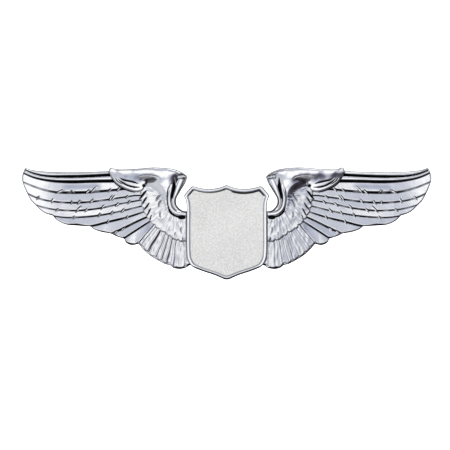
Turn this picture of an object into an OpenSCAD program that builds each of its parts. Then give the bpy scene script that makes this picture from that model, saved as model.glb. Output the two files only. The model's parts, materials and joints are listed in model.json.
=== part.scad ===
// Pilot wings pin: a die-struck pair of wings with an applied shield, held to cloth
// by three posts and three squeeze clutches.
//
// The origin is the middle of the back rim, the plane that lies on the cloth.
// +X runs to the right as seen from the front, +Z is up, and the front faces -Y.
// "Height" below always means the distance in front of that back plane.

/* [Badge] */
// Span from wing tip to wing tip
span = 76.2; // [70:0.1:84]
// Height of the highest feather's face
feather_top = 1.9; // [1.8:0.05:2.2]
// Drop in height from one feather to the next below it
feather_drop = 0.08; // [0.05:0.01:0.08]
// Height of the small coverts between the feather roots and the neck
covert_top = 2.1; // [1.95:0.05:2.3]
// Height of the shoulder and of the neck
shoulder_top = 2.7; // [2.5:0.05:2.9]
// Height of the ridge along the shoulder
ridge_top = 3.1; // [2.95:0.05:3.3]
// Depth of the hollow in the back
hollow_depth = 0.5; // [0.3:0.05:0.5]

/* [Shield] */
// Height of the seat that the shield is soldered on
seat_top = 1.0; // [0.8:0.05:1.1]
// Height of the shield's floor, on which the insert lies
shield_floor = 1.8; // [1.5:0.05:1.9]
// Height of the shield's polished rim
rim_top = 3.4; // [3.2:0.05:3.6]
// Thickness of the satin insert
insert_t = 0.8; // [0.5:0.05:1.0]

/* [Posts] */
// Distance from the middle to an outer post
post_x = 22; // [20:0.5:24]
// Height up the wing of an outer post
post_z = 4.3; // [4:0.1:4.6]
// Height of the middle post
centre_post_z = -2.4; // [-3:0.1:-2]
// Radius of a post's shank
post_r = 0.6; // [0.55:0.01:0.62]
// Reach of a post behind the back plane
post_reach = 8.2; // [7.8:0.1:8.8]
// Radius of the flange that is soldered into the hollow
flange_r = 2.2; // [1.8:0.1:2.4]

/* [Clutches] */
// Thickness of the cloth between the back and a clutch
cloth_t = 2.2; // [2.1:0.05:2.4]
// Radius of a clutch's base disc
disc_r = 5.6; // [5.4:0.1:5.8]
// Thickness of the sheet that the disc and the cage are stamped from
sheet_t = 0.35; // [0.3:0.05:0.4]
// Inside width of the cage
cage_inner = 4.2; // [4.2:0.1:4.6]
// Length of the cage's top strap
cage_len = 5.2; // [5:0.1:5.4]
// Distance of the top strap's upper face from the cloth
cage_top = 3.5; // [3.4:0.1:3.7]
// Distance of an ear's hinge from the post's axis
hinge_x = 2.0; // [1.9:0.05:2.1]
// Distance of an ear's hinge from the cloth
hinge_z = 1.75; // [1.7:0.05:1.8]
// Width of an ear at its widest
ear_w = 5.8; // [5:0.1:6]

/* [Hidden] */
$fn = 48;
SIDES = ["left", "centre", "right"];
CLUTCH_PIECES = ["base_disc", "cage", "bow_spring", "left_ear", "right_ear"];
NODES = concat(
    ["wing_plate", "shield_frame", "shield_insert"],
    [for (s = SIDES) str("post_", s)],
    [for (s = SIDES) for (p = CLUTCH_PIECES) str(s, "_clutch_", p)]
);
node = "all";

k = span / 76.2;             // the artwork's own points are for a span of 76.2 mm
far = 45;                    // well outside the badge
near_shield = 9;             // feather cuts start here, under the coverts
side_gap = 1.01;             // the shield's seat is this much larger than the shield
insert_fit = 0.995;          // the insert is this much smaller than its opening
GROOVE = [0.42, 0.12];       // radius of a snap groove's section, and its depth in the post
bore_r = post_r + 0.25;      // holes of the disc, the cage and the spring
notch_r = post_r + 0.03;     // notches of the jaws, closed on the post
pivot_r = 0.33;              // an ear's trunnions
pivot_play = 0.03;           // radial play of a trunnion in the cage
leaf_t = 0.3;                // sheet of an ear and its jaw
jaw_z = 1.25;                // height of a jaw's middle above the cloth side
jaw_end = 0.1;               // gap from a jaw's end to the middle of the post

POSTS = [[-post_x * k, post_z * k], [0, centre_post_z * k], [post_x * k, post_z * k]];

// ---- curves ----------------------------------------------------------------

// Catmull-Rom curve through four points
function bend(a, b, c, d, t) =
    0.5 * (2 * b + (c - a) * t + (2 * a - 5 * b + 4 * c - d) * t * t
           + (3 * b - a - 3 * c + d) * t * t * t);

// Smooth open curve through the points p, with n steps between two of them
function curve(p, n = 3) = [
    for (i = [0:len(p) - 2]) for (j = [0:n - 1])
        bend(p[max(i - 1, 0)], p[i], p[i + 1], p[min(i + 2, len(p) - 1)], j / n),
    p[len(p) - 1]
];

// Several curves end to end, with a corner where two of them meet
function chain(parts, n = 3) = [
    for (p = parts) let (c = curve(p, n)) for (i = [0:len(c) - 2]) c[i],
    parts[len(parts) - 1][len(parts[len(parts) - 1]) - 1]
];

// A half outline from x = 0 to x = 0, closed by its mirror image
function both(p) = concat(p, [for (i = [len(p) - 2:-1:1]) [-p[i][0], p[i][1]]]);

function along(v) = v / norm(v);

// Left-hand normal of the open line p at point i
function normal_at(p, i) =
    let (a = i == 0 ? p[1] - p[0] : p[i] - p[i - 1],
         b = i == len(p) - 1 ? a : p[i + 1] - p[i],
         d = along(along(a) + along(b)))
    [-d[1], d[0]];

// The line p made into a band of thickness t
function band(p, t) = concat(
    [for (i = [0:len(p) - 1]) p[i] + normal_at(p, i) * t / 2],
    [for (i = [len(p) - 1:-1:0]) p[i] - normal_at(p, i) * t / 2]
);

// ---- artwork of the right wing, in x and z ---------------------------------

BRIDGE_Z = 2.5;
WING_EDGE = [
    // neck, from the bridge up to the head
    [[6.6, BRIDGE_Z], [8.0, 2.65], [8.8, 3.1], [9.4, 3.9], [9.4, 4.9], [8.7, 6.1], [7.8, 7.6], [7.3, 8.7]],
    // head and shoulder, out to the shoulder's tip
    [[7.3, 8.7], [7.6, 9.3], [9, 10.2], [11, 10.75], [13.5, 10.8], [17, 10.5], [20.4, 10.5], [21.5, 10.75]],
    [[21.5, 10.75], [21.9, 10.1]],
    // leading edge, out to the wing tip
    [[21.9, 10.1], [25, 9.95], [29, 9.85], [33, 9.95], [36, 10.2], [37.5, 10.6]],
    // wing tip, then one arc for the end of each feather
    [[37.5, 10.6], [37.9, 9.9], [38.1, 8.7], [37.9, 7.4], [37.2, 5.9]],
    [[37.2, 5.9], [36.9, 5.0], [36.3, 4.3], [35.5, 3.6]],
    [[35.5, 3.6], [34.9, 2.9], [33.8, 2.1], [32.3, 1.6]],
    [[32.3, 1.6], [31.4, 0.6], [29.5, 0], [27, -0.15], [25.3, -0.25]],
    [[25.3, -0.25], [24.6, -0.85], [23.2, -1.35], [21.5, -1.6]],
    [[21.5, -1.6], [20.4, -2.15], [19.1, -2.5]],
    [[19.1, -2.5], [18.6, -3.3], [17.5, -3.7], [16.5, -3.55]],
    // trailing edge of the fan, back to the shield
    [[16.5, -3.55], [15.4, -4.6], [14.2, -5.75], [12.8, -6.6], [11.5, -7.25], [10.3, -7.65],
     [9.2, -8.15], [8, -8.2], [6.9, -7.5]],
    [[6.9, -7.5], [0, -7.2]]
];

// Lower edge of each primary feather, from its root to its tip
FEATHER_EDGES = [
    [[21.5, 9.35], [25, 9.15], [29, 9], [33, 9.05], [35.5, 9.5], [37.8, 10.7]],
    [[20.5, 8.25], [25, 8.1], [29, 8], [32.5, 8.15], [35.5, 8.75], [38.3, 10.2]],
    [[19, 6.7], [22, 6.35], [25.5, 6.05], [29, 5.95], [32, 6.15], [35, 6.9], [38.4, 8.3]],
    [[17.2, 5.5], [21, 4.85], [25, 4.25], [28.5, 4.05], [32, 4.3], [35, 5], [38, 6.4]],
    [[16.4, 4.5], [20, 3.85], [23.5, 3.1], [27.5, 2.65], [31, 2.8], [33.5, 3.2], [36.5, 4]],
    [[15.9, 3.5], [20, 2.4], [24, 1.7], [28, 1.4], [31, 1.55], [34.6, 2.3]],
    [[15.2, 2.5], [18.5, 1.4], [22, 0.55], [26.5, -0.4]],
    [[14.6, 1.5], [18, -0.1], [20.6, -1.35], [22.5, -2]],
    [[14.2, 0.7], [16.5, -0.8], [19.8, -2.9]],
    [[13.4, 0.1], [15.2, -1.8], [17.2, -4.2]]
];

// Field of small coverts, and the shoulder with its down-turned neck
COVERTS = [
    [[7.4, 1.9], [9.4, 2.4], [11, 4.5], [12, 7], [15.4, 7]],
    [[15.4, 7], [16.7, 5.7], [16.5, 4.6], [15.5, 2.6], [14.4, 0.8], [13.3, -0.4]],
    [[13.3, -0.4], [11.5, -1.7], [9.5, -2.5], [7.4, -3]]
];
SHOULDER = [
    [[7.7, 9.1], [9.1, 9.95], [11, 10.55], [13.5, 10.6], [17, 10.3], [20.4, 10.3], [21.4, 10.5]],
    [[21.4, 10.5], [21.6, 9.5], [20.9, 8.2], [19, 6.8], [16.7, 6.3]],
    [[16.7, 6.3], [15.3, 7.2], [13.6, 7.3], [12.4, 6.4], [11.6, 4.6], [10.9, 2.9], [9.6, 2.2], [8.3, 2]],
    [[8.3, 2], [8.2, 2.45], [9.1, 2.95], [9.8, 3.8], [10, 5], [9.8, 7], [9.7, 8.7]],
    [[9.7, 8.7], [7.7, 9.1]]
];
RIDGE = [
    [[10.4, 9.8], [13.5, 10.3], [17, 10], [20.6, 10]],
    [[20.6, 10], [17, 9.3], [13.4, 9.2], [11.6, 8.4], [10.9, 6.5], [10.7, 4.2]],
    [[10.7, 4.2], [10.3, 6.5], [10.2, 8.4], [10.4, 9.8]]
];
// Bowl below the ridge
BOWL = [
    [[17, 8.8], [14.8, 9], [13, 8.7], [12.6, 8.1]],
    [[12.6, 8.1], [13.4, 7.6], [15.2, 7.6], [17, 8.8]]
];
// Lines of the fan: where each starts below the coverts, and where it ends
FAN_LINES = [
    [[12.6, -0.9], [15.2, -4.9]], [[11.7, -1.5], [13.9, -6.1]], [[10.8, -2], [12.3, -7]],
    [[9.9, -2.4], [10.9, -7.6]], [[9, -2.6], [9.5, -8.2]], [[8.2, -2.9], [8.2, -8.4]]
];
FAN_GROOVE = [0.18, 0.25];   // width and depth

// Half outline of the hollow in the back
HOLLOW = [
    [[0, 1.3], [9.8, 1.3]],
    [[9.8, 1.3], [10.8, 4], [10.6, 7.5], [12.5, 9.2], [20, 9.1], [28, 8.6], [34, 8.7], [36.7, 8.6]],
    [[36.7, 8.6], [36.5, 7.2], [35.2, 4.9], [33, 3.2], [30.5, 1.5], [26, 1.1], [22, 0.2], [18.5, -1.5],
     [15.5, -3], [13, -5.2], [9.5, -6.8], [7, -6.4]],
    [[7, -6.4], [0, -6]]
];

SHIELD = [
    [[0, 7.5], [1.3, 6.95], [3.2, 6.7], [5, 6.9], [6.4, 7.3]],
    [[6.4, 7.3], [7.2, 6.4], [8, 5.4]],
    [[8, 5.4], [7.6, 4.6], [7.45, 3.4], [7.45, 0], [7.45, -4.5], [7.25, -6.4], [6.5, -7.75]],
    [[6.5, -7.75], [4.5, -8.55], [2.2, -9.3], [0, -10.3]]
];
SHIELD_FIELD = [
    [[0, 6.8], [1.3, 6.3], [3.2, 6.05], [5, 6.25], [6.15, 6.6]],
    [[6.15, 6.6], [6.7, 5.95], [7.25, 5.3]],
    [[7.25, 5.3], [6.95, 4.5], [6.8, 3.3], [6.8, 0], [6.8, -4.5], [6.6, -6.2], [6, -7.3]],
    [[6, -7.3], [4.3, -8], [2.1, -8.7], [0, -9.6]]
];

// ---- helpers ---------------------------------------------------------------

// An x-z outline, extruded from height h0 to height h1 in front of the back plane
module layer(h0, h1, outline) {
    translate([0, -h0, 0]) rotate([90, 0, 0]) linear_extrude(h1 - h0) polygon(outline * k);
}

module both_sides() {
    children();
    mirror([1, 0, 0]) children();
}

// Stands a piece whose own +Z is a post's axis on the back plane at that post
module at_post(i, lift = 0) {
    translate([POSTS[i][0], lift, POSTS[i][1]]) rotate([-90, 0, 0]) children();
}

// ---- badge -----------------------------------------------------------------

// Cuts the wing down to height h below a feather's edge, out past the outline
module feather_cut(edge, start_x, h) {
    line = curve(edge);
    layer(h, ridge_top + 1, concat(
        [[start_x, -14], [start_x, line[0][1] + 0.2]], line, [[far, line[len(line) - 1][1]], [far, -14]]
    ));
}

module fan_groove(ends, h) {
    layer(h - FAN_GROOVE[1], ridge_top + 1, band(ends, FAN_GROOVE[0]));
}

module wing_relief() {
    lowest = feather_top - feather_drop * len(FEATHER_EDGES);
    difference() {
        layer(0, feather_top, both(concat([[0, BRIDGE_Z]], chain(WING_EDGE))));
        both_sides() {
            for (i = [0:len(FEATHER_EDGES) - 1])
                feather_cut(FEATHER_EDGES[i], near_shield + 0.2 * i, feather_top - feather_drop * (i + 1));
            for (ends = FAN_LINES) fan_groove(ends, lowest);
        }
    }
    both_sides() {
        layer(hollow_depth, covert_top, chain(COVERTS));
        layer(hollow_depth + 0.1, shoulder_top, chain(SHOULDER));
        layer(hollow_depth + 0.2, ridge_top, chain(RIDGE));
    }
}

module wing_plate() {
    color("gainsboro") difference() {
        wing_relief();
        both_sides() layer(shoulder_top - 0.5, ridge_top + 1, chain(BOWL));
        layer(seat_top, ridge_top + 1, both(chain(SHIELD)) * side_gap);
        layer(-1, hollow_depth, both(chain(HOLLOW)));
    }
}

module shield_frame() {
    color("silver") difference() {
        layer(seat_top, rim_top, both(chain(SHIELD)));
        layer(shield_floor, rim_top + 1, both(chain(SHIELD_FIELD)));
    }
}

module shield_insert() {
    color("whitesmoke") layer(shield_floor, shield_floor + insert_t, both(chain(SHIELD_FIELD)) * insert_fit);
}

// ---- posts -----------------------------------------------------------------

// A nail with its head in the hollow, two rounded snap grooves and a pointed tip
module post(i) {
    flange_t = hollow_depth - 0.05;
    point_len = 1;
    grooves = [2.35, 6.2];
    color("silver") at_post(i) difference() {
        union() {
            translate([0, 0, -hollow_depth]) cylinder(h = flange_t, r = flange_r);
            translate([0, 0, -hollow_depth]) cylinder(h = hollow_depth + post_reach - point_len, r = post_r);
            translate([0, 0, post_reach - point_len]) cylinder(h = point_len, r1 = post_r, r2 = 0.12);
        }
        for (z = grooves) translate([0, 0, z]) rotate_extrude()
            translate([post_r - GROOVE[1] + GROOVE[0], 0]) circle(GROOVE[0], $fn = 24);
    }
}

// ---- clutch ----------------------------------------------------------------

// Dished disc with a rolled rim and a collar round its hole
module base_disc(i) {
    roll_r = 0.36;
    roll_z = roll_r + 0.03;
    collar = [1.25, 0.6];    // radius and height
    color("silver") at_post(i, cloth_t) difference() {
        union() {
            cylinder(h = sheet_t, r = disc_r - roll_r);
            cylinder(h = collar[1], r = collar[0]);
            translate([0, 0, roll_z]) rotate_extrude()
                translate([disc_r - roll_r, 0]) circle(roll_r, $fn = 24);
        }
        translate([0, 0, -1]) cylinder(h = 4, r = bore_r);
    }
}

// Strap over the post, with two cheeks that hold the ears and feet on the disc
module cage(i) {
    cheek_y = cage_inner / 2;
    foot = 1.1;
    color("silver") at_post(i, cloth_t) difference() {
        union() {
            translate([-cage_len / 2, -cheek_y - sheet_t, cage_top - sheet_t])
                cube([cage_len, cage_inner + 2 * sheet_t, sheet_t]);
            for (s = [-1, 1]) {
                translate([-cage_len / 2, s > 0 ? cheek_y : -cheek_y - sheet_t, sheet_t])
                    cube([cage_len, sheet_t, cage_top - sheet_t]);
                translate([-cage_len / 2, s > 0 ? cheek_y : -cheek_y - sheet_t - foot, sheet_t])
                    cube([cage_len, sheet_t + foot, sheet_t]);
            }
        }
        cylinder(h = 5, r = bore_r);
        for (x = [-hinge_x, hinge_x])
            translate([x, 0, hinge_z]) rotate([90, 0, 0])
                cylinder(h = cage_inner + 2, r = pivot_r + pivot_play, center = true);
    }
}

// Bowed strip under the strap: its ends press the ears outward, so the jaws close
module bow_spring(i) {
    half_span = 2.3;
    crown = cage_top - sheet_t - 0.05;
    sag = 0.66;
    strip = [2.8, 0.2];      // width and thickness
    r = (half_span * half_span + sag * sag) / (2 * sag);
    color("lightsteelblue") at_post(i, cloth_t) difference() {
        intersection() {
            translate([0, 0, crown - r]) rotate([90, 0, 0]) difference() {
                cylinder(h = strip[0], r = r, center = true, $fn = 96);
                cylinder(h = strip[0] + 1, r = r - strip[1], center = true, $fn = 96);
            }
            translate([-half_span, -strip[0], crown - sag - 0.1]) cube([2 * half_span, 2 * strip[0], 2]);
        }
        cylinder(h = 5, r = bore_r);
    }
}

// Side view of an ear and its jaw, from the post out to the ear's tip
JAW_LINE = [[jaw_end, jaw_z], [1.3, jaw_z], [hinge_x, hinge_z - 0.1]];
EAR_LINE = [[hinge_x, hinge_z - 0.1], [2.7, 2.3], [3.5, 3.2], [4.7, 4.15], [6.6, 4.8]];
RIB_LINE = [[3.4, 3.1], [4, 3.66], [4.7, 4.15], [5.7, 4.5]];

module sheet_side(line, t, w) {
    rotate([90, 0, 0]) linear_extrude(w, center = true) polygon(band(line, t));
}

// One ear with its jaw, hinge bead and trunnions; sign is 1 for +X and -1 for -X
module ear(i, sign) {
    neck_w = cage_inner - 0.2;
    bead_r = 0.45;
    tip_x = 6.4;
    flare_x = cage_len / 2 + 0.45;
    rib = [1.35, 0.5];       // distance from the middle, and width
    color("silver") at_post(i, cloth_t) mirror([sign < 0 ? 1 : 0, 0, 0]) difference() {
        union() {
            sheet_side(concat(JAW_LINE, [for (j = [1:2]) EAR_LINE[j]]), leaf_t, neck_w);
            intersection() {
                sheet_side(curve(EAR_LINE, 2), leaf_t, ear_w + 1);
                union() {
                    translate([0, -neck_w / 2, 0]) cube([flare_x + 0.1, neck_w, 9]);
                    intersection() {
                        translate([tip_x - ear_w / 2, 0, 0]) cylinder(h = 9, r = ear_w / 2);
                        translate([flare_x, -ear_w, 0]) cube([9, 2 * ear_w, 9]);
                    }
                }
            }
            for (y = [-rib[0], rib[0]])
                translate([0, y, 0]) sheet_side(curve(RIB_LINE, 2), 2 * leaf_t, rib[1]);
            translate([hinge_x, 0, hinge_z]) rotate([90, 0, 0]) {
                cylinder(h = neck_w, r = bead_r, center = true);
                cylinder(h = cage_inner + 2 * sheet_t, r = pivot_r, center = true);
            }
        }
        cylinder(h = hinge_z, r = notch_r);
    }
}

// ---- nodes -----------------------------------------------------------------

function shown(name) = node == "all" || node == name;

if (shown("wing_plate")) wing_plate();
if (shown("shield_frame")) shield_frame();
if (shown("shield_insert")) shield_insert();
for (i = [0:2]) {
    if (shown(str("post_", SIDES[i]))) post(i);
    if (shown(str(SIDES[i], "_clutch_base_disc"))) base_disc(i);
    if (shown(str(SIDES[i], "_clutch_cage"))) cage(i);
    if (shown(str(SIDES[i], "_clutch_bow_spring"))) bow_spring(i);
    if (shown(str(SIDES[i], "_clutch_left_ear"))) ear(i, -1);
    if (shown(str(SIDES[i], "_clutch_right_ear"))) ear(i, 1);
}
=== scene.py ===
"""Looks of the pilot wings pin: the struck wings' relief, the shield, and the finish of every piece."""
import json
import math

import bmesh
import bpy
import numpy as np
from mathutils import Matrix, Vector


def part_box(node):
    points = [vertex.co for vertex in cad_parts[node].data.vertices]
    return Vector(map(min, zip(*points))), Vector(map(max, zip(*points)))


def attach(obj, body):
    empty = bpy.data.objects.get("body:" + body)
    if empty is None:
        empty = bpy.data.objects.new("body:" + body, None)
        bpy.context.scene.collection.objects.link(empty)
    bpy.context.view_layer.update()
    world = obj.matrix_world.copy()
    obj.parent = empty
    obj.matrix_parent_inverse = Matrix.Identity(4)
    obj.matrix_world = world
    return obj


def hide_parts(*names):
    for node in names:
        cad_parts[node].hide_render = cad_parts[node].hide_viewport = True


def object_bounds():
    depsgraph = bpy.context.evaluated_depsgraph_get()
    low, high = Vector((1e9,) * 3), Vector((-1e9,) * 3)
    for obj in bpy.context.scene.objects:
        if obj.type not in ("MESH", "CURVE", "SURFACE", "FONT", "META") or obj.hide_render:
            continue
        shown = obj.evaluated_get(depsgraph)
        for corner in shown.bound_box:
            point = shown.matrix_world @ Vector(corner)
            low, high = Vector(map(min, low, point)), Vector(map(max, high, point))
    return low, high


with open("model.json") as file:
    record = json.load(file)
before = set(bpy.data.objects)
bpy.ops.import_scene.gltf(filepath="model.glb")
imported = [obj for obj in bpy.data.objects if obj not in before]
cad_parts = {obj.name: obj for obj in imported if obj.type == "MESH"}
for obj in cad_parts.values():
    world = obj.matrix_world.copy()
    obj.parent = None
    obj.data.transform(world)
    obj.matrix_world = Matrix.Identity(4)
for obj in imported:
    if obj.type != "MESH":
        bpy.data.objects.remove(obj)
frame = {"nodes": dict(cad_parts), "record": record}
cad_low, cad_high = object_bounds()

# ---- sizes -----------------------------------------------------------------

# The wings' artwork is in millimetres for a span of 76.2 mm, x along the span and z up. Heights are
# measured forward from the back rim's plane, so a height h lies at y = -h.
ART_SPAN = 76.2
wing_low, wing_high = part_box("wing_plate")
SCALE = (wing_high.x - wing_low.x) / ART_SPAN

FRONT_PITCH = 0.072  # grid of the front relief
BACK_PITCH = 0.19  # grid of the hollow back
EDGE_H = 0.9  # height where the front's rounded edge starts
EDGE_R = 0.3  # radius of that edge
SEAT_H = 0.98  # flat seat behind the shield
FEATHER_TOP = 1.75  # upper edge of the first flight feather
FEATHER_STEP = 0.05  # each next one lies that much lower
RIBS = 2  # the first feathers are round ribs
BLUE_VANE = 2  # the vane under them leans more in its middle, which reflects bluish
RIB_SWELL = 0.26  # roundness of the ribs
VANE_TILT = 0.165  # how steeply the vanes rise towards their lower edges
VANE_RISE = 0.38  # the most that they rise
LINE_DEPTH = 1.2  # depth of the dark lines between them, over the lines' half width
LAST_VANE = 2.5  # width of the vane below the last edge
TIP_X, TIP_FALL = 31, 0.045  # the wing's tip falls back with that slope from there on
BARB_TOP = 2.0  # bright barbs that cross the dark lines
BARB_H = 0.0012  # the fine ripple of all the other barbs
FAN_CENTRE = (8.5, 5.5)  # coverts and fan feathers spread from here
FAN_START, FAN_STEP = -47, 6.6  # degrees: where the fan starts, and how wide one of its feathers is
FAN_TOP = 1.68
COVERT_R = 7.55  # reach of the coverts from the fan's centre
COVERT_ROWS = 5
COVERT_TOP = 1.87
BORDER_TOP = 1.12  # narrow border outside the fan
SOFT_SHADE = 0.13  # how much shade is painted over the small feathers
HOLLOW_DEPTH = 0.5
POSTS = [(22.0, 4.3), (0.0, -2.4)]
PAST_MIDDLE = -9  # where the halves' open outlines are closed, well beyond x = 0

# Shield, as heights
RIM_BASE = 1.0
RIM_SIDE = 3.0  # top of its straight outer side
RIM_TOP = 3.4
RIM_FLOOR = 1.8
FIELD_TOP = 2.6

# Posts, as distances from their axis and heights
POST_HEAD = [(2.08, -0.5), (2.18, -0.44), (2.2, -0.3), (2.18, -0.12), (2.05, -0.06)]
SOLDER = [(1.3, -0.04), (0.85, 0.02), (0.68, 0.12), (0.6, 0.3)]
GROOVES = (2.35, 6.2)
GROOVE_R, GROOVE_HALF = 0.42, 0.294
GROOVE_CENTRE = 0.9
POST_POINT = [(0.6, 7.15), (0.56, 7.32), (0.15, 8.12), (0.08, 8.19), (0.03, 8.2)]

# Clutches, as distances from the post and heights above the cloth
DISC_COLLAR = [(0.93, 0), (0.85, 0.07), (0.85, 0.53), (0.9, 0.6), (1.13, 0.6), (1.22, 0.54), (1.28, 0.42)]
DISC_DISH = [(1.42, 0.35), (3.0, 0.35), (3.15, 0.3), (3.35, 0.3), (3.5, 0.35), (4.7, 0.35)]
DISC_RIM, DISC_RIM_R = (5.24, 0.39), 0.36
DISC_UNDER = [(4.95, 0.0), (4.6, 0.0)]
SHEET_PITCH = 0.13  # grid of their sheet metal
SHEET_BEVEL = 0.1
CAGE_T = 0.35
CAGE_LENGTH = 5.2
CAGE_PATH = [(-3.55, 0.525), (-2.275, 0.525), (-2.275, 3.325), (2.275, 3.325), (2.275, 0.525), (3.55, 0.525)]
CHEEK_X = 2.2  # the cheeks stand outside this
BEND_R = 0.3
BORE_R = 0.85
PIVOT = (2.0, 1.75)
PIVOT_HOLE_R = 0.36
NOTCH_R = 0.63
LEAF_T = 0.3
JAW_LINE = [[0.1, 1.25], [0.7, 1.25], [1.3, 1.25]]
EAR_LINE = [[2.0, 1.65], [2.7, 2.3], [3.5, 3.2], [4.7, 4.15], [6.6, 4.8]]
NECK_HALF = 2.0
EAR_R = 2.9
EAR_TIP = 6.4
FLARE_X = 3.05
EAR_RIB_H, EAR_RIB_Z = 0.14, 1.35
BEAD = [(0.26, -2.45), (0.33, -2.38), (0.33, -2.0), (0.4, -1.99), (0.45, -1.94)]

# ---- artwork of the right wing ---------------------------------------------

# Each curve of an outline starts where the one before ends
PLATE_EDGE = [
    [[0, 2.5], [6.6, 2.5]],
    [[8, 2.65], [8.8, 3.1], [9.35, 3.9], [9.35, 4.9], [8.7, 6.1], [7.8, 7.6], [7.3, 8.7]],
    [[7.35, 9.1], [8.3, 9.85], [10.2, 10.5], [13.5, 10.75], [17, 10.5], [20.2, 10.4], [21.3, 10.75]],
    [[21.8, 10.55], [21.95, 10.05]],
    [[25, 9.95], [29, 9.85], [33, 9.95], [36, 10.25], [37.4, 10.7]],
    [[37.75, 10.1], [38.1, 8.9], [37.95, 7.8], [37.45, 6.5], [36.9, 5.4]],
    [[36.4, 4.5], [35.6, 3.7]],
    [[34.6, 2.7], [33.6, 2.1], [32.4, 1.75]],
    [[31.4, 0.75], [29.8, 0.05], [27.5, -0.15], [25.3, -0.3]],
    [[24.7, -0.8], [23.3, -1.3], [21.6, -1.6]],
    [[20.4, -2.15], [19.1, -2.55]],
    [[18.7, -3.3], [17.7, -3.75], [16.4, -3.55]],
    [[15.5, -4.6], [14.2, -5.75], [12.8, -6.6], [11.5, -7.3]],
    [[10.6, -7.5], [9.9, -8], [8.8, -8.2], [7.7, -8], [6.9, -7.5]],
    [[0, -7.2]],
]
LEADING_EDGE = 4  # the number of the curve over the flight feathers
# Lower edge of each flight feather from root to tip, and the half width of its dark line at
# the root, in the middle and at the tip
FEATHER_EDGES = [
    ([[21.2, 9.35], [25, 9.13], [29, 9], [33, 9.07], [35.5, 9.5], [37.6, 10.3]], (0.3, 0.32, 0.1)),
    ([[20.2, 8.2], [25, 8.12], [29, 8.03], [32.5, 8.2], [35.7, 8.8], [38.3, 9.9]], (0.3, 0.32, 0.1)),
    ([[18.6, 6.75], [22, 6.4], [25.5, 6.12], [29, 6.03], [32, 6.15], [35, 6.85], [38.4, 8.2]],
     (0.2, 0.27, 0.09)),
    ([[17, 5.5], [21, 4.9], [25, 4.35], [28.5, 4.15], [32, 4.35], [35, 4.95], [38, 6.3]], (0.12, 0.18, 0.1)),
    ([[16.2, 4.6], [20, 3.9], [23.5, 3.15], [27.5, 2.7], [31, 2.8], [33.5, 3.15], [36.5, 4]],
     (0.12, 0.17, 0.09)),
    ([[15.7, 3.55], [20, 2.5], [24, 1.75], [28, 1.42], [31, 1.5], [34.6, 2.2]], (0.13, 0.17, 0.09)),
    ([[15.1, 2.55], [18.5, 1.45], [22, 0.6], [24.3, 0], [26.5, -0.4]], (0.14, 0.22, 0.18)),
    ([[14.6, 1.6], [16.8, 0.6], [19, -0.5], [21, -1.4], [22.5, -2]], (0.17, 0.21, 0.17)),
    ([[14.2, 0.75], [16.5, -0.75], [19.1, -2.45], [20, -3.1]], (0.15, 0.17, 0.15)),
    ([[13.6, 0], [15, -1.75], [16.5, -3.55], [17.1, -4.3]], (0.1, 0.11, 0.09)),
]
# How much the painted shade of each edge's dark line fades towards the tip, the last number for all the rest
TIP_FADES = (0.15, 0.15, 0.6, 0.3, 0.45)
# Splits in the vanes: feather edge, x on that edge, length, and lean in degrees
SPLITS = [
    (3, 31.6, 1.3, 25), (3, 28.6, 0.6, 125), (3, 26.2, 0.9, 38), (3, 25.3, 1.5, 45), (3, 22, 0.6, 40),
    (4, 35.3, 0.5, 40), (4, 32.6, 0.6, 60), (4, 29, 0.5, 60), (4, 25.4, 0.9, 45), (4, 21.9, 1, 50),
    (4, 21.4, 0.9, 50), (4, 18.8, 0.6, 35), (5, 31.7, 0.5, 35), (5, 28, 1.2, 45), (5, 23.4, 0.9, 45),
    (5, 20.6, 0.7, 42), (6, 28.6, 0.4, 50), (6, 23.9, 0.6, 55), (6, 19.6, 0.7, 45), (7, 28.5, 0.9, 50),
    (7, 22.3, 0.6, 55), (7, 18.7, 0.5, 60), (8, 20.9, 0.6, 45), (8, 19.6, 0.6, 42), (4, 27.7, 0.7, 48),
    (5, 26.3, 0.5, 42), (6, 21.6, 0.6, 50), (3, 20.4, 0.6, 45), (5, 18.4, 0.6, 48),
]
SHOULDER = [
    [[7, 9], [8.3, 10.1], [13.5, 11], [17, 10.8], [20.2, 10.7], [21.7, 11.1]],
    [[22, 10.1], [21.65, 9.25], [21, 8.2], [19.9, 7.2], [18.4, 6.5], [17.1, 6.15], [16.2, 6.15]],
    [[15.6, 6.6], [15.2, 7.2], [14.2, 6.9], [13, 6.2], [12.2, 5], [11.7, 3.8], [10.8, 2.4]],
    [[9.8, 1.75], [8.6, 1.55], [7.4, 1.5], [6, 1.5], [6, 2.6]],
    [[8, 2.6], [9.4, 3.9], [9.4, 4.9], [8.6, 6.1], [7, 8.4], [7, 9]],
]
MELTING_EDGE = 2  # the number of the curve that fades into the coverts
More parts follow.
